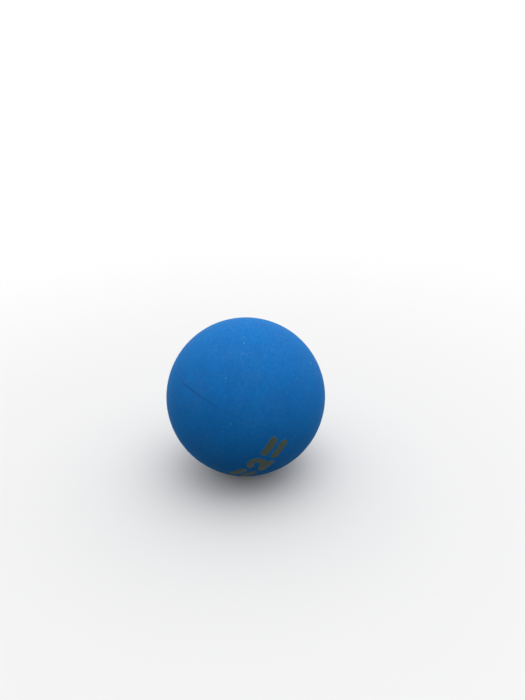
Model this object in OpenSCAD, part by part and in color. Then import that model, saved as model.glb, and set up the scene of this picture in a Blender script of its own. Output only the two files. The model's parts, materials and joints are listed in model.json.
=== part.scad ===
// A racquetball: two moulded rubber half shells, joined rim to rim by a ring of cured rubber
// cement, with an ink print on the outside. The origin is the centre of the ball and +Z is up.
// The ball lies tipped over, so the pole of its joint leans away from +Z.

/* [Ball] */
// Outside diameter of the finished ball
ball_d = 57.15; // [50:0.05:65]
// Thickness of the rubber wall
wall = 3.85; // [2.5:0.05:6]

/* [Joint] */
// Thickness of the cured cement between the two rims
cement_t = 0.25; // [0.1:0.05:0.8]
// Bevel round the outer corner of each rim, which leaves the fine groove of the seam
rim_bevel = 0.12; // [0.05:0.01:0.5]
// Width of the bead of cement squeezed out along the inside of the joint
bead_w = 2.4; // [1:0.1:4]
// Height of that bead above the inner wall
bead_h = 0.6; // [0.2:0.05:1]
// Angle that the pole of the joint leans from straight up
lean = 29; // [0:1:180]
// Heading that the pole leans towards, turning from +X to +Y
lean_heading = 22; // [-180:1:180]

/* [Print] */
// Thickness of the dried ink
ink_t = 0.06; // [0.03:0.01:0.2]
// Overall length of the print
print_l = 25; // [20:0.5:32]
// Height of the numeral
numeral_h = 8.6; // [7.4:0.1:12]
// Width of the numeral
numeral_w = 6.8; // [5.4:0.1:7.6]
// Width of the numeral's strokes
stroke = 2.3; // [0.8:0.1:2.5]
// Clear gap between the numeral and the bars at each side of it
bar_gap = 1.3; // [0.8:0.1:2.4]
// Thickness of each bar
bar_t = 2.7; // [0.8:0.1:3.2]
// Distance between the middles of the two bars of a pair
bar_pitch = 4.2; // [3.2:0.1:7]
// Heading of the middle of the print, turning from +X to +Y
print_heading = -82; // [-180:1:180]
// Angle of the middle of the print below the ball's waist
print_drop = 25.5; // [-90:0.5:90]
// Angle that the print's line runs uphill
print_climb = 55; // [-180:1:180]

/* [Hidden] */
$fn = 180;

// The sphere of the outside and the sphere of the hollow
outer_r = ball_d / 2;
inner_r = outer_r - wall;

// The rims stand half the cement's thickness to each side of the joint's middle plane
rim_z = cement_t / 2;
rim_outer_r = sqrt(pow(outer_r, 2) - pow(rim_z, 2));
cement_r = rim_outer_r - rim_bevel;

// The bead is a slice of a round cord that lies partly in the wall
bead_round_r = (pow(bead_h, 2) + pow(bead_w / 2, 2)) / (2 * bead_h);
bead_centre_r = inner_r - bead_h + bead_round_r;

// The numeral's bowl is a ring that ends a little way under the slanted stroke
bowl_r = numeral_w / 2;
bowl_y = numeral_h / 2 - bowl_r;
bowl_exit_angle = -40;
bowl_end_angle = bowl_exit_angle - 4;
foot_y = -numeral_h / 2;
bar_l = (print_l - numeral_w) / 2 - bar_gap;
bar_middle_x = (numeral_w + bar_l) / 2 + bar_gap;

// The print is drawn facing -Y, which is this heading
drawn_heading = -90;

rubber_blue = [0.07, 0.36, 0.68];
cement_blue = [0.05, 0.2, 0.4];
ink_olive = [0.36, 0.37, 0.22];

// Turns a piece that was drawn with its joint level to the way that the ball lies
module as_it_lies() {
    rotate([0, lean, lean_heading]) children();
}

// One moulded cup of rubber with its rim up to the cement, its outer corner bevelled
module half_shell() {
    rotate_extrude()
        difference() {
            intersection() {
                difference() {
                    circle(r = outer_r);
                    circle(r = inner_r);
                }
                translate([0, rim_z]) square(outer_r);
            }
            polygon([
                [rim_outer_r - rim_bevel, rim_z],
                [rim_outer_r + rim_bevel, rim_z],
                [rim_outer_r + rim_bevel, rim_z + 2 * rim_bevel],
            ]);
        }
}

module upper_half_shell() {
    color(rubber_blue) as_it_lies() half_shell();
}

module lower_half_shell() {
    color(rubber_blue) as_it_lies() mirror([0, 0, 1]) half_shell();
}

// The cement fills the space between the rims and swells into a bead in the hollow
module seam_cement() {
    color(cement_blue)
        as_it_lies()
            rotate_extrude() {
                translate([inner_r - bead_h / 2, -rim_z])
                    square([cement_r - inner_r + bead_h / 2, cement_t]);
                intersection() {
                    circle(r = inner_r);
                    translate([bead_centre_r, 0]) circle(r = bead_round_r);
                }
            }
}

// A point at an angle round the numeral's bowl
function on_bowl(r, angle) = [r * cos(angle), bowl_y + r * sin(angle)];

// The bowl of the numeral two, from its open end at the left round to the slanted stroke
module numeral_bowl() {
    difference() {
        translate([0, bowl_y]) circle(r = bowl_r);
        translate([0, bowl_y]) circle(r = bowl_r - stroke);
        polygon([
            [0, bowl_y],
            [-numeral_w, bowl_y],
            [-numeral_w, bowl_y - numeral_w],
            on_bowl(2 * numeral_w, bowl_end_angle),
        ]);
    }
}

// The slanted stroke of the numeral two and its foot
module numeral_leg() {
    polygon([
        on_bowl(bowl_r, bowl_exit_angle),
        on_bowl(bowl_r - stroke, bowl_exit_angle),
        [-bowl_r, foot_y + stroke],
        [-bowl_r, foot_y],
        [stroke - bowl_r, foot_y],
    ]);
    translate([-bowl_r, foot_y]) square([numeral_w, stroke]);
}

// A pair of bars with round ends at each side of the numeral
module print_bars() {
    straight_l = bar_l - bar_t;
    for (side = [-1, 1], row = [-1, 1])
        translate([side * bar_middle_x, row * bar_pitch / 2]) {
            translate([-straight_l / 2, -bar_t / 2]) square([straight_l, bar_t]);
            for (end = [-1, 1]) translate([end * straight_l / 2, 0]) circle(d = bar_t);
        }
}

// A thin skin on the ball, as far as an outline reaches that is seen upright from -Y
module skin_of_ink() {
    intersection() {
        difference() {
            sphere(r = outer_r + ink_t);
            sphere(r = outer_r);
        }
        rotate([90, 0, 0]) linear_extrude(ball_d) children();
    }
}

// The print is drawn on the ball's waist and is then turned to its place
module ink_print() {
    color(ink_olive)
        rotate([print_drop, 0, print_heading - drawn_heading])
            rotate([0, -print_climb, 0]) {
                skin_of_ink() numeral_bowl();
                skin_of_ink() numeral_leg();
                skin_of_ink() print_bars();
            }
}

upper_half_shell();
lower_half_shell();
seam_cement();
ink_print();
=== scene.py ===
# A racquetball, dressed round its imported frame: two matt rubber half shells, the ring of cement
# between them and a plain ink print. Lengths are in metres and the origin is the ball's centre.
import json
import math

import bmesh
import bpy
from mathutils import Matrix, Vector, kdtree, noise


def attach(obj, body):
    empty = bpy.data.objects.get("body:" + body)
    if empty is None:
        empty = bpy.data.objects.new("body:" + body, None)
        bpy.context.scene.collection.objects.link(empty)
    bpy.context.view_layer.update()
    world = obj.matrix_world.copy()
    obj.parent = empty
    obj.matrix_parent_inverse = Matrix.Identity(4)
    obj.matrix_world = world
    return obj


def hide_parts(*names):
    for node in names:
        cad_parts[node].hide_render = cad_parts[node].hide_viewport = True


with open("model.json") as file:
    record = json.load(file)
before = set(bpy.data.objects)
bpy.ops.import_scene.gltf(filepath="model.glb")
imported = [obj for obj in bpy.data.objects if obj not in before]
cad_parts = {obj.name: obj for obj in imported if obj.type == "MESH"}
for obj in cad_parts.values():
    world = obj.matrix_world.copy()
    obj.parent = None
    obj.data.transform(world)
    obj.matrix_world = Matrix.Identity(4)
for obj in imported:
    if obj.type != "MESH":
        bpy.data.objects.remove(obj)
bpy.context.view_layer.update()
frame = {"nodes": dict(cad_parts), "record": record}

MM = 0.001

# Sizes of the ball, as the frame was built
rest_point = frame["record"]["mounts"][0]
OUTER_R = -rest_point["pos_m"][2]
WALL = 3.85 * MM
CEMENT_T = 0.25 * MM
RIM_BEVEL = 0.12 * MM
BEAD_W = 2.4 * MM
BEAD_H = 0.6 * MM
INK_T = 0.06 * MM
INNER_R = OUTER_R - WALL
RIM_Z = CEMENT_T / 2

# How the joint leans and where the print sits, in degrees
LEAN = 29
LEAN_HEADING = 22
PRINT_HEADING = -82
PRINT_DROP = 25.5
PRINT_CLIMB = 55
DRAWN_HEADING = -90

# How finely the pieces are divided. CORNER_SHARES are the heights of the cuts round a rim's corner, in
# bevels, RULING is the side of the squares of the print, and edges flatter than SMOOTH_ANGLE look smooth
COARSE_STEPS = 112
FINE_CUTS = 3
ROUND_STEPS = COARSE_STEPS * (FINE_CUTS + 1)
RIM_CUTS = 4
CORNER_SHARES = (0.13, 0.35, 0.65, 1, 1.6)
BEAD_STEPS = 56
BACK_CUTS = 5
RULING = 0.15 * MM
SMOOTH_ANGLE = 35

# Points this near are merged
FINEST = 0.001 * MM

# Values this near count as the same, and the edges of the cement are told apart by a finer limit
SAME_PLACE = 0.01 * MM
SLACK = 0.005 * MM

# A face whose normal follows the ball's radius this closely lies along the ball
LIES_ALONG = 0.9

# How unevenly the bead was laid
BEAD_WAVER = 0.35
BEAD_PITCH = 4 * MM

# How the ink took: its outline wavers, and its film thins over a margin to a share of its thickness
INK_EDGE_WAVER = 0.06 * MM
INK_EDGE_PITCH = 0.5 * MM
INK_EDGE_W = 0.25 * MM
INK_THINNEST_SHARE = 0.5
OTHER_NOISE = Vector((7, 7, 7))

# The small unevenness that moulding and tumbling leave
SWELL = 0.03 * MM
SWELL_PITCH = 9 * MM
RIPPLE = 0.008 * MM
RIPPLE_PITCH = 1.6 * MM

# Stretches round the joint where cement leaves the groove open: heading and half width in degrees, and
# the share that is open in the middle
OPEN_STRETCHES = ((-160, 40, 0.42), (112, 26, 0.42), (38, 40, 0.5), (-22, 26, 0.22))

# Noises that make those stretches patchy: pitch and strength
OPEN_GRAINS = ((3.2 * MM, 0.5), (1.0 * MM, 0.6))

# The camera stands where the photograph's stood, and is turned as that one was. Its angles are in
# degrees, and its sensor is given in millimetres, as Blender has it
PHOTO_LONG_SIDE_PX = 700
FOCAL_PX = 629
SENSOR_W = 36
CAMERA_DISTANCE = 228.7 * MM
CAMERA_ELEVATION = 28.63
CAMERA_PITCH = 24.48
CAMERA_HEADING = 1.8
CAMERA_ROLL = 1.1
CLIP_START = 10 * MM

# Colours, as linear red, green, blue and a one
RUBBER_LIGHT = (0.007, 0.218, 0.675, 1)
RUBBER_DEEP = (0.006, 0.186, 0.605, 1)
# RUBBER_DARK is painted shade: in the tooth's pits and hollows, and beside the open seam
RUBBER_DARK = (0.002, 0.105, 0.380, 1)
CEMENT_LIGHT = (0.003, 0.150, 0.480, 1)
CEMENT_DEEP = (0.002, 0.105, 0.360, 1)
INK_LIGHT = (0.102, 0.138, 0.070, 1)
INK_DEEP = (0.050, 0.078, 0.054, 1)
INK_GOLD = (0.205, 0.178, 0.055, 1)
DUST_PALE = (0.550, 0.640, 0.700, 1)
BLOOM_BLUE = (0.100, 0.660, 0.820, 1)
SPECK_PALE = (0.320, 0.800, 0.950, 1)
FLOOR_PALE = (0.93, 0.93, 0.93, 1)
FLOOR_BOUNCE = (0.02, 0.02, 0.02, 1)
WHITE = (1, 1, 1, 1)

# The finish of the rubber, the cement and the ink
RUBBER_GLOSS = 0.085
RUBBER_CHALK = 0.1
RUBBER_SHEEN = 0.07
SHEEN_SPREAD = 0.4
CEMENT_GLOSS = 0.12
INK_GLOSS = 0.3
INK_CHALK = 0.3

# Roughness at the deep and at the light end of each surface's pattern, and what marks add to it
RUBBER_ROUGHNESS = (0.62, 0.72)
CEMENT_ROUGHNESS = (0.5, 0.68)
INK_ROUGHNESS = (0.5, 0.66)
DUST_ROUGHNESS = 0.15
SMUDGE_ROUGHNESS = -0.06

# Heights of the marks as multiples of the depth of the rubber's tooth
TOOTH_DEPTH = 0.02 * MM
PIT_HEIGHT = -0.35
SPECK_HEIGHT = 2.0
SCUFF_HEIGHT = -0.3
LUMP_HEIGHT = 4.0
PINHOLE_HEIGHT = -1.2

# How strongly the marks take their colours
# The first is the painted shade in the tooth's pits and hollows
PIT_SHADE_SHOWS = 0.3
TOPS_SHOW = 0.03
SMUDGE_AND_SHADE_SHOWS = 0.3
SMEAR_SHOWS = 0.3
SCUFFS_SHOW = 0.025
LUMPS_SHOW = 0.4
GOLD_SHOWS = 0.75
PINHOLES_SHOW = 0.7

# How strongly the film of dust and its specks show on each surface
RUBBER_FILM = 0.03
RUBBER_SPECKS = 0.85
CEMENT_FILM = 0.06
CEMENT_SPECKS = 0.6
INK_FILM = 0.06
INK_SPECKS = 0.5

# Lengths are in millimetres from here to the room, as the materials read them

# The tooth of tumbled rubber, and of ink that lies on it
TOOTH_PITCH = 0.3
INK_TOOTH_PITCH = 0.24

# Pits in the tooth: how far apart they lie and over what pitch they grow and shrink, both in pitches of
# the tooth, their least and largest radius as shares of how far apart they lie, and their floor's share
PIT_SPACING = 2.2
CROWD_PITCH = 9.0
PIT_SIZES = (0.1, 0.3)
PIT_FLOOR = 0.4

# The clouding's pitch on each surface, and the shares of pitch and tone that its close clouds have
RUBBER_CLOUDS = 8.0
CEMENT_CLOUDS = 2.0
INK_CLOUDS = 4.0
CLOSE_PITCH = 0.2
CLOSE_TONE = 0.6

# The dust on each surface
RUBBER_DUST = {"Patch Pitch": 12.0, "Speck Pitch": 1.3, "Speck Radius": 0.13, "Speck Share": 0.36}
CEMENT_DUST = {"Patch Pitch": 6.0, "Speck Pitch": 3.0, "Speck Radius": 0.12, "Speck Share": 0.1}
INK_DUST = {"Patch Pitch": 8.0, "Speck Pitch": 3.0, "Speck Radius": 0.15, "Speck Share": 0.1}

# Each speck of dust: its least size and thickness, as shares of the full ones, and how far its edge
# strays and how much of it is solid, as shares of its own radius
SPECK_LEAST_SIZE = 0.4
SPECK_LEAST_THICKNESS = 0.1
SPECK_RAG = 2.4
SPECK_CORE = 0.6

# Pale specks that the photograph shows: the way from the ball's centre, radius and strength. Their edge
# strays over SEEN_RAG, and SEEN_CORE is the share of the radius that is solid
SEEN_SPECKS = (
    ((0, -0.312, 0.950), 0.34, 0.3),
    ((0.03, -0.36, 0.932), 0.2, 0.2),
    ((-0.003, -0.404, 0.915), 0.32, 0.36),
    ((0.792, -0.250, 0.557), 0.36, 0.6),
)
SEEN_RAG = 0.36
SEEN_CORE = 0.5

# Pale grit all over the rubber, made to show more strongly on top, from this height upwards, as a painted
# sheen
TOP_SHEEN_ABOVE = 15
GRIT_AND_TOP_SHEEN = (0.03, 0.06)

# Scuffs: each way that they run has a turn, and a shift that gives it its own pattern. Away from the
# middle of the ball they fade out between the two shares of its radius in SCUFF_FADE
SCUFF_WAYS = (((0.4, 0.9, 0.2), 0.0), ((1.3, 0.2, 0.8), 41.0), ((0.1, 1.9, 1.1), 83.0))
SCUFF_SIZES = {"Length": 5.0, "Spacing": 0.9}
SCUFF_BEND = 2.0
SCUFF_BEND_PITCH = 8.0
SCUFF_PATCH_PITCH = 7.0
SCUFF_PATCH_SHIFT = 5.0
SCUFF_FADE = (0.75, 0.55)

# A smudge and a smear beside the open seam: the distances between which each comes up to full
# strength, and how far its edge wanders. The smudge darkens the rubber as painted shade of the open
# groove, and is also a little glossier
SMUDGE_AND_SHADE_REACH = (1.1, 0.1)
SMUDGE_AND_SHADE_WANDER = 0.9
SMEAR_REACH = (0.36, 0.14)
SMEAR_WANDER = 0.7

# How much the lumps of the cement break up the rubber's colour on it
LUMPS_BREAK = 1.2

# The ink's golden edge, by the same two measures, but in metres, as the piece keeps its distances
GOLD_REACH = (0.45 * MM, 0.1 * MM)
GOLD_WANDER = 0.3 * MM

# Pinholes open where the noise is above a level that falls as the clouding grows
PINHOLE_LEVELS = (0.66, 0.56)
PINHOLE_EDGE = 0.05

# The level halfway through a noise
MIDDLE = 0.5

# Noises of the marks: pitch, detail, roughness and, in some, how far off the noise is read
POWDER_NOISE = (0.35, 2.0, 0.7, 13.0)
SPECK_NOISE = (0.09, 2.0, 0.6)
SEEN_SPECK_NOISE = (0.13, 2.0, 0.6)
GRIT_NOISE = (0.9, 3.0, 0.75, 43.0)
SMUDGE_AND_SHADE_NOISE = (1.3, 3.0, 0.6)
SMEAR_NOISE = (0.45, 3.0, 0.65)
LUMP_NOISE = (0.7, 3.0, 0.6)
GOLD_NOISE = (0.6, 2.0, 0.5)
INK_NOISE = (0.4, 2.0, 0.7, 19.0)
PINHOLE_NOISE = (0.32, 2.0, 0.6, 67.0)

# The room, in metres again. The floor fades into white between two distances
SKY_LIGHT = 0.66
SKY_SLOPE = (0.10, 0.295, 0.28)
DIMMEST_SKY = 0.1
SOFTBOX_LIGHT = 0.15
SOFTBOX_PLACE = (0.14, -0.05, 0.9)
SOFTBOX_W = 0.9
FLOOR_R = 3
FLOOR_STEPS = 128
FADE_START = 0.06
FADE_END = 0.32


def turned(axis, degrees):
    return Matrix.Rotation(math.radians(degrees), 4, axis)


AS_IT_LIES = turned("Z", LEAN_HEADING) @ turned("Y", LEAN)
PRINT_SPOT = turned("Z", PRINT_HEADING - DRAWN_HEADING) @ turned("X", PRINT_DROP)
PRINT_TURN = PRINT_SPOT @ turned("Y", -PRINT_CLIMB)


# Small tools for modelling

def clear_selection():
    bpy.ops.object.select_all(action="DESELECT")


def work_on(piece):
    """Makes a piece the only selected one, and the active one."""
    clear_selection()
    piece.select_set(True)
    bpy.context.view_layer.objects.active = piece


def edit(piece):
    work_on(piece)
    bpy.ops.object.mode_set(mode="EDIT")


def leave_edit():
    bpy.ops.object.mode_set(mode="OBJECT")


def pick(piece, kind, wanted):
    """Selects, in edit mode, the edges or the faces that a test picks out."""
    bpy.ops.mesh.select_mode(type=kind)
    bpy.ops.mesh.select_all(action="DESELECT")
    mesh = bmesh.from_edit_mesh(piece.data)
    for part in mesh.edges if kind == "EDGE" else mesh.faces:
        if wanted(part):
            part.select_set(True)
    bmesh.update_edit_mesh(piece.data)


def cut(place, direction, **kept):
    """Cuts the selected faces along a plane, as finely as the smallest parts need."""
    bpy.ops.mesh.bisect(plane_co=place, plane_no=direction, threshold=FINEST, **kept)


def note_along(piece, name, values):
    """Keeps a number at each vertex, for a material to read."""
    note = piece.data.attributes.new(name, "FLOAT", "POINT")
    note.data.foreach_set("value", values)


def near(value, target):
    return abs(value - target) < SAME_PLACE


def across(point):
    """Distance of a point from the joint's pole."""
    return math.hypot(point.x, point.y)


# The ball's surface: a slow swell and a fine ripple, the same for every piece that touches it

def unevenness(point):
    """How far the surface falls short of the true sphere, which nothing stands proud of."""
    direction = point.normalized() * OUTER_R
    swell = noise.noise(direction / SWELL_PITCH) - 1
    ripple = noise.noise(direction / RIPPLE_PITCH) - 1
    return SWELL * swell + RIPPLE * ripple


def settle(piece):
    """Moves each vertex in or out with the ball's own unevenness."""
    for vertex in piece.data.vertices:
        vertex.co += vertex.co.normalized() * unevenness(vertex.co)


def groove_open(point, side):
    """Share of the seam's groove that cement leaves open, at a heading round the joint. The lower cup is
    drawn upside down, with a side of -1, so that the two cups agree once they are in place."""
    heading = math.atan2(side * point.y, point.x)
    spot = Vector((math.cos(heading), math.sin(heading), 0)) * OUTER_R
    grains = 1 + sum(size * noise.noise(spot / pitch) for pitch, size in OPEN_GRAINS)
    stretches = 0
    for middle, half_width, share in OPEN_STRETCHES:
        away = abs(math.remainder(heading - math.radians(middle), 2 * math.pi))
        nearness = max(0, 1 - away / math.radians(half_width))
        stretches += share * nearness * nearness * (3 - 2 * nearness)
    return min(1, stretches * grains)


# The pieces

def round_off(piece):
    """Puts every vertex of a divided cup back on its own sphere, and keeps the rim level."""
    middle_r = (INNER_R + OUTER_R) / 2
    for vertex in piece.data.vertices:
        sphere_r = OUTER_R if vertex.co.length > middle_r else INNER_R
        if near(vertex.co.z, RIM_Z):
            outwards = math.sqrt(sphere_r ** 2 - RIM_Z ** 2) / across(vertex.co)
            vertex.co.x *= outwards
            vertex.co.y *= outwards
        else:
            vertex.co *= sphere_r / vertex.co.length


def half_shell(name, side):
    """One cup of rubber with its rim down on the joint, drawn with the joint level."""
    clear_selection()
    rings = COARSE_STEPS // 2
    bpy.ops.mesh.primitive_uv_sphere_add(segments=COARSE_STEPS, ring_count=rings, radius=OUTER_R)
    shell = bpy.context.object
    shell.name = name
    edit(shell)
    bpy.ops.mesh.select_all(action="SELECT")
    cut((0, 0, RIM_Z), (0, 0, 1), clear_inner=True)
    bpy.ops.mesh.primitive_uv_sphere_add(segments=COARSE_STEPS, ring_count=rings // 2, radius=INNER_R)
    bpy.ops.mesh.flip_normals()
    cut((0, 0, RIM_Z), (0, 0, 1), clear_inner=True)
    bpy.ops.mesh.select_all(action="SELECT")
    bpy.ops.mesh.subdivide(number_cuts=FINE_CUTS)
    leave_edit()
    round_off(shell)
    edit(shell)
    bpy.ops.mesh.select_mode(type="EDGE")
    bpy.ops.mesh.select_all(action="DESELECT")
    bpy.ops.mesh.select_non_manifold(
        use_wire=False, use_multi_face=False, use_non_contiguous=False, use_verts=False)
    bpy.ops.mesh.bridge_edge_loops(number_cuts=RIM_CUTS, interpolation="LINEAR")
    for share in CORNER_SHARES:
        bpy.ops.mesh.select_all(action="SELECT")
        cut((0, 0, RIM_Z + share * RIM_BEVEL), (0, 0, 1))
    bpy.ops.mesh.select_all(action="SELECT")
    bpy.ops.mesh.normals_make_consistent(inside=False)
    leave_edit()
    for vertex in shell.data.vertices:
        up_the_corner = (vertex.co.z - RIM_Z) / RIM_BEVEL
        if up_the_corner < 1 and near(vertex.co.length, OUTER_R):
            rounding = 1 - math.sqrt(1 - (1 - max(0, up_the_corner)) ** 2)
            vertex.co *= 1 - rounding * RIM_BEVEL * groove_open(vertex.co, side) / OUTER_R
    note_along(shell, "groove_open", [groove_open(vertex.co, side) for vertex in shell.data.vertices])
    return shell


def cement_ring(name):
    """The film of cement between the rims and the bead along its inner edge, spun from its section."""
    bead_round_r = (BEAD_H ** 2 + (BEAD_W / 2) ** 2) / (2 * BEAD_H)
    bead_centre_r = INNER_R - BEAD_H + bead_round_r
    back_x = math.sqrt(INNER_R ** 2 - (BEAD_W / 2) ** 2)
    film_out = OUTER_R - RIM_BEVEL

    def at_back(edge):
        return all(near(end.co.x, back_x) for end in edge.verts)

    def in_film(edge):
        return all(abs(end.co.z) < RIM_Z + SAME_PLACE for end in edge.verts)

    clear_selection()
    bpy.ops.mesh.primitive_circle_add(
        vertices=BEAD_STEPS, radius=bead_round_r, fill_type="NGON",
        location=(bead_centre_r, 0, 0), rotation=(math.pi / 2, 0, 0))
    ring = bpy.context.object
    ring.name = name
    bpy.ops.object.transform_apply()
    edit(ring)
    cut((back_x, 0, 0), (1, 0, 0), clear_outer=True)
    for side in (-1, 1):
        bpy.ops.mesh.select_all(action="SELECT")
        cut((0, 0, side * RIM_Z), (0, 0, 1))
    pick(ring, "EDGE", lambda edge: at_back(edge) and in_film(edge))
    bpy.ops.mesh.extrude_edges_move(TRANSFORM_OT_translate={"value": (film_out - back_x, 0, 0)})
    pick(ring, "EDGE", lambda edge: at_back(edge) and edge.calc_length() > CEMENT_T)
    bpy.ops.mesh.subdivide(number_cuts=BACK_CUTS)
    bpy.ops.mesh.select_all(action="SELECT")
    bpy.ops.mesh.dissolve_faces()
    bpy.ops.mesh.delete(type="ONLY_FACE")
    bpy.ops.mesh.select_all(action="SELECT")
    bpy.ops.mesh.spin(steps=ROUND_STEPS, angle=2 * math.pi, center=(0, 0, 0), axis=(0, 0, 1))
    bpy.ops.mesh.select_all(action="SELECT")
    bpy.ops.mesh.remove_doubles(threshold=FINEST)
    bpy.ops.mesh.normals_make_consistent(inside=False)
    leave_edit()
    for vertex in ring.data.vertices:
        radius = vertex.co.length
        fullness = 1 + BEAD_WAVER * noise.noise(vertex.co / BEAD_PITCH)
        if near(across(vertex.co), back_x):
            vertex.co *= INNER_R / radius
        elif radius < INNER_R - SLACK:
            vertex.co *= (INNER_R - (INNER_R - radius) * fullness) / radius
        elif radius > film_out - SLACK:
            vertex.co *= 1 + (OUTER_R - radius) * (1 - groove_open(vertex.co, 1)) / radius
    note_along(ring, "groove_open", [groove_open(vertex.co, 1) for vertex in ring.data.vertices])
    return ring


def lies_along(face):
    """Whether a face is part of the print's top or underside, and not of its edge."""
    return abs(face.normal.dot(face.calc_center_median().normalized())) > LIES_ALONG


def distances_from_outline(ink, tops):
    """Distance of each vertex from the print's outline, along the ball. The outline runs where an edge
    joins the top to the underside."""
    spots = [vertex.co.normalized() * OUTER_R for vertex in ink.data.vertices]
    ends = [tuple(edge.vertices) for edge in ink.data.edges]
    outline = {end for pair in ends if tops[pair[0]] != tops[pair[1]] for end in pair}
    tree = kdtree.KDTree(len(outline))
    for end in outline:
        tree.insert(spots[end], end)
    tree.balance()
    return [tree.find(spot)[2] for spot in spots]


def printed_ink(name):
    """The print: a merged copy of its solid, cleared of its triangles and ruled into small squares. Its
    film thins towards the outline, which wavers as a pad's print does."""
    solid = frame["nodes"]["ink_print"]
    ink = solid.copy()
    ink.data = solid.data.copy()
    ink.name = name
    bpy.context.scene.collection.objects.link(ink)
    ink.parent = None
    ink.data.transform(PRINT_TURN.inverted())
    work_on(ink)
    bpy.ops.mesh.customdata_custom_splitnormals_clear()
    edit(ink)
    bpy.ops.mesh.select_all(action="SELECT")
    bpy.ops.mesh.remove_doubles(threshold=FINEST)
    pick(ink, "FACE", lies_along)
    bpy.ops.mesh.dissolve_faces()
    for direction in ((1, 0, 0), (0, 0, 1)):
        corners = bmesh.from_edit_mesh(ink.data).verts
        lines = int(max(abs(corner.co.dot(direction)) for corner in corners) / RULING)
        for count in range(-lines, lines + 1):
            bpy.ops.mesh.select_all(action="SELECT")
            cut([count * RULING * share for share in direction], direction)
    leave_edit()
    tops = [vertex.normal.dot(vertex.co) > 0 for vertex in ink.data.vertices]
    from_edge = distances_from_outline(ink, tops)
    for vertex, distance, on_top in zip(ink.data.vertices, from_edge, tops):
        place = vertex.co / INK_EDGE_PITCH
        vertex.co.x += INK_EDGE_WAVER * noise.noise(place)
        vertex.co.z += INK_EDGE_WAVER * noise.noise(place + OTHER_NOISE)
        fullness = INK_THINNEST_SHARE + (1 - INK_THINNEST_SHARE) * min(1, distance / INK_EDGE_W)
        film = INK_T * fullness if on_top else 0
        vertex.co *= (OUTER_R + film) / vertex.co.length
    note_along(ink, "from_edge", from_edge)
    return ink


def put_in_place(piece, turn, node, material):
    """Turns a drawn piece to its place and hands it over in place of its CAD node."""
    piece.data.transform(turn)
    settle(piece)
    work_on(piece)
    bpy.ops.object.shade_smooth_by_angle(angle=math.radians(SMOOTH_ANGLE))
    piece.data.materials.clear()
    piece.data.materials.append(material)
    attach(piece, "root")
    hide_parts(node)


# Laying shader nodes

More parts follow.
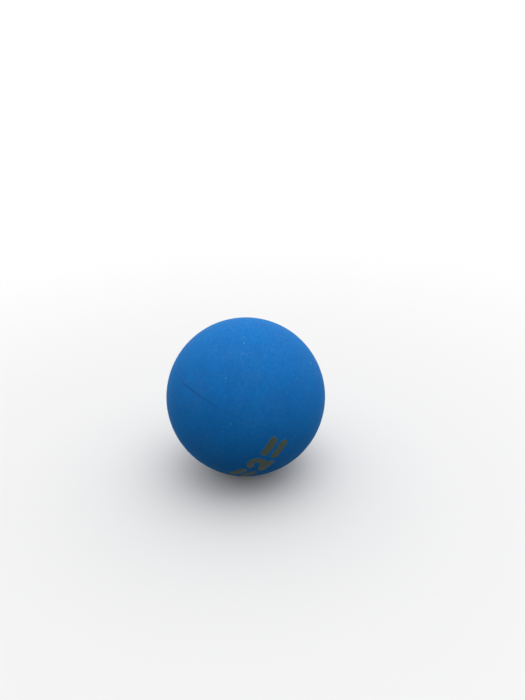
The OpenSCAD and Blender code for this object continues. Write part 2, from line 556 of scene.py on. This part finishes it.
class NodeSheet:
    """A sheet of shader nodes. Its short ways lay nodes, feed them and give back what they put out."""

    def __init__(self, tree):
        self.tree = tree

    def feed(self, socket, value):
        if isinstance(value, bpy.types.NodeSocket):
            self.tree.links.new(value, socket)
        else:
            socket.default_value = value

    def feed_all(self, node, inputs):
        for name, value in inputs.items():
            self.feed(node.inputs[name], value)

    def lay(self, kind, inputs, **settings):
        node = self.tree.nodes.new(kind)
        for name, value in settings.items():
            setattr(node, name, value)
        self.feed_all(node, inputs)
        return node

    def use(self, group, place, inputs):
        """Places a node group, which reads its place and these inputs."""
        node = self.tree.nodes.new("ShaderNodeGroup")
        node.node_tree = group
        self.feed_all(node, {"Place": place, **inputs})
        return node.outputs

    def maths(self, operation, *values):
        node = self.lay("ShaderNodeMath", {}, operation=operation)
        for socket, value in zip(node.inputs, values):
            self.feed(socket, value)
        return node.outputs["Value"]

    def times(self, first, second):
        return self.maths("MULTIPLY", first, second)

    def plus(self, first, second):
        return self.maths("ADD", first, second)

    def strongest(self, masks):
        total = masks[0]
        for mask in masks[1:]:
            total = self.maths("MAXIMUM", total, mask)
        return total

    def centred(self, noise_value, swing):
        """A noise that swings this far in all, to both sides of nought."""
        return self.times(self.plus(noise_value, -MIDDLE), swing)

    def ramp(self, value, start, end, low=0.0, high=1.0):
        inputs = {"Value": value, "From Min": start, "From Max": end, "To Min": low, "To Max": high}
        return self.lay("ShaderNodeMapRange", inputs, interpolation_type="SMOOTHSTEP").outputs["Result"]

    def between(self, share, ends):
        """A number that goes smoothly from one end to the other as a share grows from nought to one."""
        return self.ramp(share, 0.0, 1.0, *ends)

    def vectors(self, operation, *values):
        return self.lay("ShaderNodeVectorMath", dict(enumerate(values)), operation=operation).outputs

    def shifted(self, place, amount):
        return self.vectors("ADD", place, (amount, amount, amount))["Vector"]

    def in_frame(self, place, turn, scale=(1, 1, 1)):
        """A place as read in a frame that is turned and scaled this way."""
        inputs = {"Vector": place, "Rotation": turn, "Scale": scale}
        return self.lay("ShaderNodeMapping", inputs, vector_type="TEXTURE").outputs["Vector"]

    def on_object(self):
        return self.lay("ShaderNodeTexCoord", {}).outputs["Object"]

    def millimetres(self, turn=(0, 0, 0)):
        """Object coordinates in millimetres, in a frame turned this way."""
        return self.in_frame(self.on_object(), turn, (MM, MM, MM))

    def part(self, place, axis):
        """One coordinate of a place."""
        return self.lay("ShaderNodeSeparateXYZ", {"Vector": place}).outputs[axis]

    def kept_at(self, name):
        """A number that a piece keeps at each of its vertices."""
        return self.lay("ShaderNodeAttribute", {}, attribute_name=name).outputs["Fac"]

    def cloud(self, place, pitch, detail=2.0, roughness=0.5, shift=0.0):
        """A noise between nought and one. A shift reads it further off, for a pattern of its own."""
        scale = self.maths("DIVIDE", 1.0, pitch)
        spot = self.shifted(place, shift) if shift else place
        inputs = {"Vector": spot, "Scale": scale, "Detail": detail, "Roughness": roughness}
        return self.lay("ShaderNodeTexNoise", inputs).outputs["Fac"]

    def cloud_along(self, distance):
        """A noise along one line, with a pitch of one."""
        inputs = {"W": distance, "Scale": 1.0, "Detail": 1.0}
        return self.lay("ShaderNodeTexNoise", inputs, noise_dimensions="1D").outputs["Fac"]

    def cells(self, place, pitch):
        scale = self.maths("DIVIDE", 1.0, pitch)
        return self.lay("ShaderNodeTexVoronoi", {"Vector": place, "Scale": scale}).outputs

    def tint(self, share, below, above):
        node = self.lay("ShaderNodeMix", {}, data_type="RGBA", clamp_factor=True)
        self.feed(node.inputs[0], share)
        self.feed(node.inputs[6], below)
        self.feed(node.inputs[7], above)
        return node.outputs[2]

    def marked(self, ground, *marks):
        """A ground colour under marks, each with its mask, how strongly it shows and its colour."""
        for mask, strength, colour in marks:
            ground = self.tint(self.times(mask, strength), ground, colour)
        return ground

    def relief(self, height):
        """The surface's normal, for a height in depths of the rubber's tooth."""
        inputs = {"Height": height, "Strength": 1.0, "Distance": TOOTH_DEPTH}
        return self.lay("ShaderNodeBump", inputs).outputs["Normal"]

    def shader(self, kind, inputs):
        return self.lay(kind, inputs).outputs[0]

    def mixed(self, share, below, above):
        return self.shader("ShaderNodeMixShader", {0: share, 1: below, 2: above})


def effect(name, inputs, outputs):
    """A node group with named sockets. Gives the group, its sheet, what comes in and what goes out."""
    group = bpy.data.node_groups.new(name, "ShaderNodeTree")
    group.interface.new_socket("Place", in_out="INPUT", socket_type="NodeSocketVector")
    for socket, value in inputs.items():
        made = group.interface.new_socket(socket, in_out="INPUT", socket_type="NodeSocketFloat")
        made.default_value = value
    for socket in outputs:
        group.interface.new_socket(socket, in_out="OUTPUT", socket_type="NodeSocketFloat")
    entry = group.nodes.new("NodeGroupInput")
    result = group.nodes.new("NodeGroupOutput")
    return group, NodeSheet(group), entry.outputs, result.inputs


# Effects that several surfaces share

def make_tooth():
    """The fine tooth that tumbling leaves: close grains with pits between them. The pits and the hollows
    between grains are darkened with painted shade, and the grains' tops are paler.
    """
    outputs = ["Height", "Pit Shade", "Tops"]
    group, sheet, given, result = effect("tumbled_tooth", {"Pitch": TOOTH_PITCH}, outputs)
    place, pitch = given["Place"], given["Pitch"]
    grains = sheet.cloud(place, pitch, detail=3.0, roughness=0.65)
    crowd = sheet.cloud(place, sheet.times(pitch, CROWD_PITCH), shift=31.0)
    pit_size = sheet.ramp(crowd, start=0.35, end=0.65, low=PIT_SIZES[0], high=PIT_SIZES[1])
    from_pit = sheet.cells(place, sheet.times(pitch, PIT_SPACING))["Distance"]
    pits = sheet.ramp(from_pit, pit_size, sheet.times(pit_size, PIT_FLOOR))
    hollows = sheet.ramp(grains, start=0.46, end=0.34)
    sheet.feed(result["Height"], sheet.plus(grains, sheet.times(pits, PIT_HEIGHT)))
    sheet.feed(result["Pit Shade"], sheet.strongest([pits, hollows]))
    sheet.feed(result["Tops"], sheet.ramp(grains, start=0.54, end=0.66))
    return group


def make_clouding():
    """Slow changes of tone over the surface."""
    group, sheet, given, result = effect("clouding", {"Pitch": RUBBER_CLOUDS}, ["Tone"])
    place, pitch = given["Place"], given["Pitch"]
    broad = sheet.cloud(place, pitch, detail=1.0)
    close_pitch = sheet.times(pitch, CLOSE_PITCH)
    close = sheet.cloud(place, close_pitch, detail=3.0, roughness=0.66, shift=57.0)
    tone = sheet.plus(sheet.times(broad, 1 - CLOSE_TONE), sheet.times(close, CLOSE_TONE))
    sheet.feed(result["Tone"], sheet.ramp(tone, start=0.32, end=0.68))
    return group


def make_dust():
    """A thin film of dust in patches, and loose specks of it. Chance gives each speck its own size."""
    group, sheet, given, result = effect("dust", RUBBER_DUST, ["Film", "Specks"])
    place = given["Place"]
    patch_cloud = sheet.cloud(place, given["Patch Pitch"], detail=4.0, roughness=0.62)
    patches = sheet.ramp(patch_cloud, start=0.45, end=0.72)
    powder = sheet.ramp(sheet.cloud(place, *POWDER_NOISE), start=0.35, end=0.7)
    sheet.feed(result["Film"], sheet.times(patches, powder))
    rag = sheet.centred(sheet.cloud(place, *SPECK_NOISE), SPECK_RAG)
    spots = sheet.cells(place, given["Speck Pitch"])
    chance = sheet.lay("ShaderNodeSeparateColor", {"Color": spots["Color"]}).outputs
    kept = sheet.maths("LESS_THAN", chance["Red"], given["Speck Share"])
    radius = sheet.times(given["Speck Radius"], sheet.plus(chance["Green"], SPECK_LEAST_SIZE))
    reach = sheet.maths("DIVIDE", radius, given["Speck Pitch"])
    ragged = sheet.plus(spots["Distance"], sheet.times(rag, reach))
    inside = sheet.ramp(sheet.maths("DIVIDE", ragged, reach), start=1.0, end=SPECK_CORE)
    heap = sheet.times(sheet.maths("POWER", chance["Blue"], 2.0), 1 - SPECK_LEAST_THICKNESS)
    thickness = sheet.plus(heap, SPECK_LEAST_THICKNESS)
    sheet.feed(result["Specks"], sheet.times(sheet.times(inside, kept), thickness))
    return group


def make_scuffs():
    """Faint straight hairlines in three directions, short and in patches, where the ball has slid."""
    group, sheet, given, result = effect("scuffs", SCUFF_SIZES, ["Mask"])
    place, length, spacing = given["Place"], given["Length"], given["Spacing"]
    stroke = sheet.lay("ShaderNodeCombineXYZ", {"X": length, "Y": spacing, "Z": length})
    fade_start, fade_end = [share * OUTER_R / MM for share in SCUFF_FADE]
    masks = []
    for turn, shift in SCUFF_WAYS:
        bend_cloud = sheet.cloud(place, SCUFF_BEND_PITCH, detail=1.0, shift=shift)
        over = sheet.part(sheet.in_frame(place, turn), "Y")
        rank = sheet.plus(sheet.plus(over, sheet.centred(bend_cloud, SCUFF_BEND)), shift)
        rows = sheet.cloud_along(sheet.maths("DIVIDE", rank, spacing))
        from_middle = sheet.maths("ABSOLUTE", sheet.plus(rows, -MIDDLE))
        hairlines = sheet.ramp(from_middle, start=0.03, end=0.008)
        along = sheet.in_frame(sheet.shifted(place, shift), turn, stroke.outputs["Vector"])
        strokes = sheet.ramp(sheet.cloud(along, 1.0), start=0.52, end=0.62)
        patch_shift = shift + SCUFF_PATCH_SHIFT
        patch_cloud = sheet.cloud(place, SCUFF_PATCH_PITCH, detail=1.0, shift=patch_shift)
        patches = sheet.ramp(patch_cloud, start=0.48, end=0.62)
        rubbed = sheet.times(sheet.times(hairlines, strokes), patches)
        not_on_end = sheet.ramp(sheet.maths("ABSOLUTE", over), fade_start, fade_end)
        masks.append(sheet.times(rubbed, not_on_end))
    sheet.feed(result["Mask"], sheet.strongest(masks))
    return group


TOOTH = make_tooth()
CLOUDING = make_clouding()
DUST = make_dust()
SCUFFS = make_scuffs()


# Surfaces of the ball

def surface(name):
    """A new material. Gives it with its sheet and its shader."""
    made = bpy.data.materials.new(name)
    made.use_nodes = True
    shader = made.node_tree.nodes["Principled BSDF"]
    return made, NodeSheet(made.node_tree), shader


def seen_specks(sheet, place):
    """The specks that the photograph shows, each a ragged spot at its own place."""
    ragged = sheet.centred(sheet.cloud(place, *SEEN_SPECK_NOISE), SEEN_RAG)
    masks = []
    for way, radius, strength in SEEN_SPECKS:
        spot = tuple(Vector(way).normalized() * OUTER_R / MM)
        gap = sheet.vectors("DISTANCE", place, spot)["Value"]
        masks.append(sheet.ramp(sheet.plus(gap, ragged), radius, SEEN_CORE * radius, 0.0, strength))
    return sheet.strongest(masks)


def blue_rubber():
    made, sheet, shader = surface("blue_rubber")
    place = sheet.millimetres()
    level = sheet.millimetres(AS_IT_LIES.to_euler())
    tooth = sheet.use(TOOTH, place, {"Pitch": TOOTH_PITCH})
    clouding = sheet.use(CLOUDING, place, {"Pitch": RUBBER_CLOUDS})
    dust = sheet.use(DUST, place, RUBBER_DUST)
    scuffs = sheet.use(SCUFFS, place, SCUFF_SIZES)

    from_joint = sheet.maths("ABSOLUTE", sheet.part(level, "Z"))
    open_groove = sheet.kept_at("groove_open")
    # Beside the open groove the rubber is darkened with painted shade, which is also a little glossier
    wander = sheet.centred(sheet.cloud(place, *SMUDGE_AND_SHADE_NOISE), SMUDGE_AND_SHADE_WANDER)
    smudge_and_shade = sheet.times(sheet.ramp(sheet.plus(from_joint, wander), *SMUDGE_AND_SHADE_REACH), open_groove)
    edge_wander = sheet.centred(sheet.cloud(place, *SMEAR_NOISE), SMEAR_WANDER)
    beside = sheet.ramp(sheet.plus(from_joint, edge_wander), *SMEAR_REACH)
    smear = sheet.times(beside, sheet.ramp(open_groove, start=0.05, end=0.4))
    grit = sheet.ramp(sheet.cloud(place, *GRIT_NOISE), start=0.45, end=0.7)
    # The grit grows paler towards the top: a painted sheen where the light falls from above
    grit_and_top_sheen = sheet.ramp(sheet.part(place, "Z"), TOP_SHEEN_ABOVE, OUTER_R / MM, *GRIT_AND_TOP_SHEEN)
    specks = sheet.strongest([dust["Specks"], seen_specks(sheet, place)])

    colour = sheet.marked(
        sheet.tint(clouding["Tone"], RUBBER_DEEP, RUBBER_LIGHT),
        # Painted shade in the tooth's pits and hollows
        (tooth["Pit Shade"], PIT_SHADE_SHOWS, RUBBER_DARK),
        (tooth["Tops"], TOPS_SHOW, SPECK_PALE),
        (grit, grit_and_top_sheen, SPECK_PALE),
        (smudge_and_shade, SMUDGE_AND_SHADE_SHOWS, RUBBER_DARK),
        (smear, SMEAR_SHOWS, CEMENT_DEEP),
        (scuffs["Mask"], SCUFFS_SHOW, DUST_PALE),
        (dust["Film"], RUBBER_FILM, DUST_PALE),
        (specks, RUBBER_SPECKS, SPECK_PALE),
    )
    matt = sheet.between(clouding["Tone"], RUBBER_ROUGHNESS)
    matt = sheet.plus(matt, sheet.times(dust["Film"], DUST_ROUGHNESS))
    matt = sheet.plus(matt, sheet.times(smudge_and_shade, SMUDGE_ROUGHNESS))
    height = sheet.plus(tooth["Height"], sheet.times(specks, SPECK_HEIGHT))
    height = sheet.plus(height, sheet.times(scuffs["Mask"], SCUFF_HEIGHT))
    sheet.feed_all(shader, {
        "Base Color": colour,
        "Roughness": matt,
        "Normal": sheet.relief(height),
        "Specular IOR Level": RUBBER_GLOSS,
        "Diffuse Roughness": RUBBER_CHALK,
        "Sheen Weight": RUBBER_SHEEN,
        "Sheen Roughness": SHEEN_SPREAD,
        "Sheen Tint": BLOOM_BLUE,
    })
    return made


def cured_cement():
    made, sheet, shader = surface("cured_cement")
    place = sheet.millimetres()
    tooth = sheet.use(TOOTH, place, {"Pitch": TOOTH_PITCH})
    clouding = sheet.use(CLOUDING, place, {"Pitch": CEMENT_CLOUDS})
    dust = sheet.use(DUST, place, CEMENT_DUST)
    lumps = sheet.cloud(place, *LUMP_NOISE)
    broken_up = sheet.plus(sheet.kept_at("groove_open"), sheet.centred(lumps, LUMPS_BREAK))
    rubbery = sheet.ramp(broken_up, start=0.1, end=0.6, low=0.9, high=0.0)

    bare = sheet.tint(clouding["Tone"], CEMENT_DEEP, CEMENT_LIGHT)
    smeared = sheet.tint(clouding["Tone"], RUBBER_DEEP, RUBBER_LIGHT)
    colour = sheet.marked(
        sheet.tint(rubbery, bare, smeared),
        (sheet.ramp(lumps, start=0.58, end=0.42), LUMPS_SHOW, CEMENT_DEEP),
        # Painted shade in the tooth's pits and hollows
        (tooth["Pit Shade"], PIT_SHADE_SHOWS, RUBBER_DARK),
        (dust["Film"], CEMENT_FILM, DUST_PALE),
        (dust["Specks"], CEMENT_SPECKS, SPECK_PALE),
    )
    height = sheet.plus(tooth["Height"], sheet.times(lumps, LUMP_HEIGHT))
    sheet.feed_all(shader, {
        "Base Color": colour,
        "Roughness": sheet.between(rubbery, CEMENT_ROUGHNESS),
        "Normal": sheet.relief(height),
        "Specular IOR Level": CEMENT_GLOSS,
    })
    return made


def olive_ink():
    made, sheet, shader = surface("olive_ink")
    place = sheet.millimetres(PRINT_TURN.to_euler())
    tooth = sheet.use(TOOTH, place, {"Pitch": INK_TOOTH_PITCH})
    clouding = sheet.use(CLOUDING, place, {"Pitch": INK_CLOUDS})
    dust = sheet.use(DUST, place, INK_DUST)
    wander = sheet.times(sheet.cloud(place, *GOLD_NOISE), GOLD_WANDER)
    edge = sheet.ramp(sheet.plus(sheet.kept_at("from_edge"), wander), *GOLD_REACH)
    grain = sheet.ramp(sheet.cloud(place, *INK_NOISE), start=0.36, end=0.64)
    level = sheet.between(clouding["Tone"], PINHOLE_LEVELS)
    pinholes = sheet.ramp(sheet.cloud(place, *PINHOLE_NOISE), level, sheet.plus(level, PINHOLE_EDGE))

    colour = sheet.marked(
        sheet.tint(grain, INK_DEEP, INK_LIGHT),
        (edge, GOLD_SHOWS, INK_GOLD),
        (pinholes, PINHOLES_SHOW, RUBBER_DEEP),
        (dust["Film"], INK_FILM, DUST_PALE),
        (dust["Specks"], INK_SPECKS, SPECK_PALE),
    )
    height = sheet.plus(tooth["Height"], sheet.times(pinholes, PINHOLE_HEIGHT))
    sheet.feed_all(shader, {
        "Base Color": colour,
        "Roughness": sheet.between(grain, INK_ROUGHNESS),
        "Normal": sheet.relief(height),
        "Specular IOR Level": INK_GLOSS,
        "Diffuse Roughness": INK_CHALK,
    })
    return made


# The ball

rubber = blue_rubber()
upside_down = AS_IT_LIES @ turned("X", 180)
put_in_place(half_shell("upper_shell", 1), AS_IT_LIES, "upper_half_shell", rubber)
put_in_place(half_shell("lower_shell", -1), upside_down, "lower_half_shell", rubber)
put_in_place(cement_ring("cement_ring"), AS_IT_LIES, "seam_cement", cured_cement())
put_in_place(printed_ink("printed_ink"), PRINT_TURN, "ink_print", olive_ink())


# The floor, the world, the lamp and the camera

def pale_to_the_eye(sheet, seen, unseen):
    """One shader for rays that the eye follows, straight or by a reflection, and another for the rest."""
    path = sheet.lay("ShaderNodeLightPath", {}).outputs
    rays = [path["Is Glossy Ray"], path["Is Transmission Ray"], path["Is Camera Ray"]]
    return sheet.mixed(sheet.strongest(rays), unseen, seen)


def floor_surface():
    """Pale paper that fades into white with distance, and that throws little light back up."""
    made, sheet, shader = surface("pale_paper")
    away = sheet.vectors("LENGTH", sheet.on_object())["Value"]
    paper = sheet.shader("ShaderNodeBsdfDiffuse", {"Color": FLOOR_PALE})
    white = sheet.shader("ShaderNodeEmission", {"Color": WHITE})
    seen = sheet.mixed(sheet.ramp(away, FADE_START, FADE_END), paper, white)
    unseen = sheet.shader("ShaderNodeBsdfDiffuse", {"Color": FLOOR_BOUNCE})
    top = pale_to_the_eye(sheet, seen, unseen)
    under = sheet.shader("ShaderNodeBsdfTransparent", {})
    below = sheet.lay("ShaderNodeNewGeometry", {}).outputs["Backfacing"]
    sheet.feed(made.node_tree.nodes["Material Output"].inputs["Surface"], sheet.mixed(below, top, under))
    made.node_tree.nodes.remove(shader)
    return made


def lay_floor():
    clear_selection()
    bpy.ops.mesh.primitive_circle_add(
        vertices=FLOOR_STEPS, radius=FLOOR_R, fill_type="NGON", location=(0, 0, -OUTER_R))
    floor = bpy.context.object
    floor.name = "floor"
    bpy.ops.object.transform_apply()
    floor.data.materials.append(floor_surface())


def light_world():
    """White to the eye. The light that it throws on the ball grows upwards, backwards and to the right."""
    world = bpy.data.worlds.new("white_room")
    bpy.context.scene.world = world
    world.use_nodes = True
    sheet = NodeSheet(world.node_tree)
    white = world.node_tree.nodes["Background"]
    sheet.feed_all(white, {"Color": WHITE, "Strength": 1.0})
    slope = sheet.vectors("DOT_PRODUCT", sheet.on_object(), SKY_SLOPE)["Value"]
    glow = sheet.maths("MAXIMUM", sheet.plus(slope, SKY_LIGHT), DIMMEST_SKY)
    soft = sheet.shader("ShaderNodeBackground", {"Color": WHITE, "Strength": glow})
    seen = pale_to_the_eye(sheet, white.outputs[0], soft)
    sheet.feed(world.node_tree.nodes["World Output"].inputs["Surface"], seen)


def hang_softbox(name, place, width, light):
    """A round softbox that faces the ball. Light is what it adds to a surface that squarely faces it."""
    clear_selection()
    bpy.ops.object.light_add(type="AREA", location=place)
    lamp = bpy.context.object
    lamp.name = name
    lamp.rotation_euler = (-Vector(place)).to_track_quat("-Z", "Y").to_euler()
    lamp.data.shape = "DISK"
    lamp.data.size = width
    area = math.pi * width ** 2 / 4
    half_angle = math.atan2(width / 2, Vector(place).length)
    lamp.data.energy = light / math.sin(half_angle) ** 2 * math.pi * area


def stand_camera():
    """The camera stands and looks as the photograph's did."""
    elevation = math.radians(CAMERA_ELEVATION)
    place = Vector((0, -math.cos(elevation), math.sin(elevation))) * CAMERA_DISTANCE
    clear_selection()
    bpy.ops.object.camera_add()
    camera = bpy.context.object
    look = turned("Z", -CAMERA_HEADING) @ turned("X", 90 - CAMERA_PITCH) @ turned("Z", -CAMERA_ROLL)
    camera.matrix_world = Matrix.Translation(place) @ look
    camera.data.sensor_width = SENSOR_W
    camera.data.lens = FOCAL_PX / PHOTO_LONG_SIDE_PX * SENSOR_W
    camera.data.clip_start = CLIP_START
    bpy.context.scene.camera = camera


lay_floor()
light_world()
hang_softbox("softbox", SOFTBOX_PLACE, SOFTBOX_W, SOFTBOX_LIGHT)
stand_camera()
bpy.context.scene.view_settings.view_transform = "Standard"
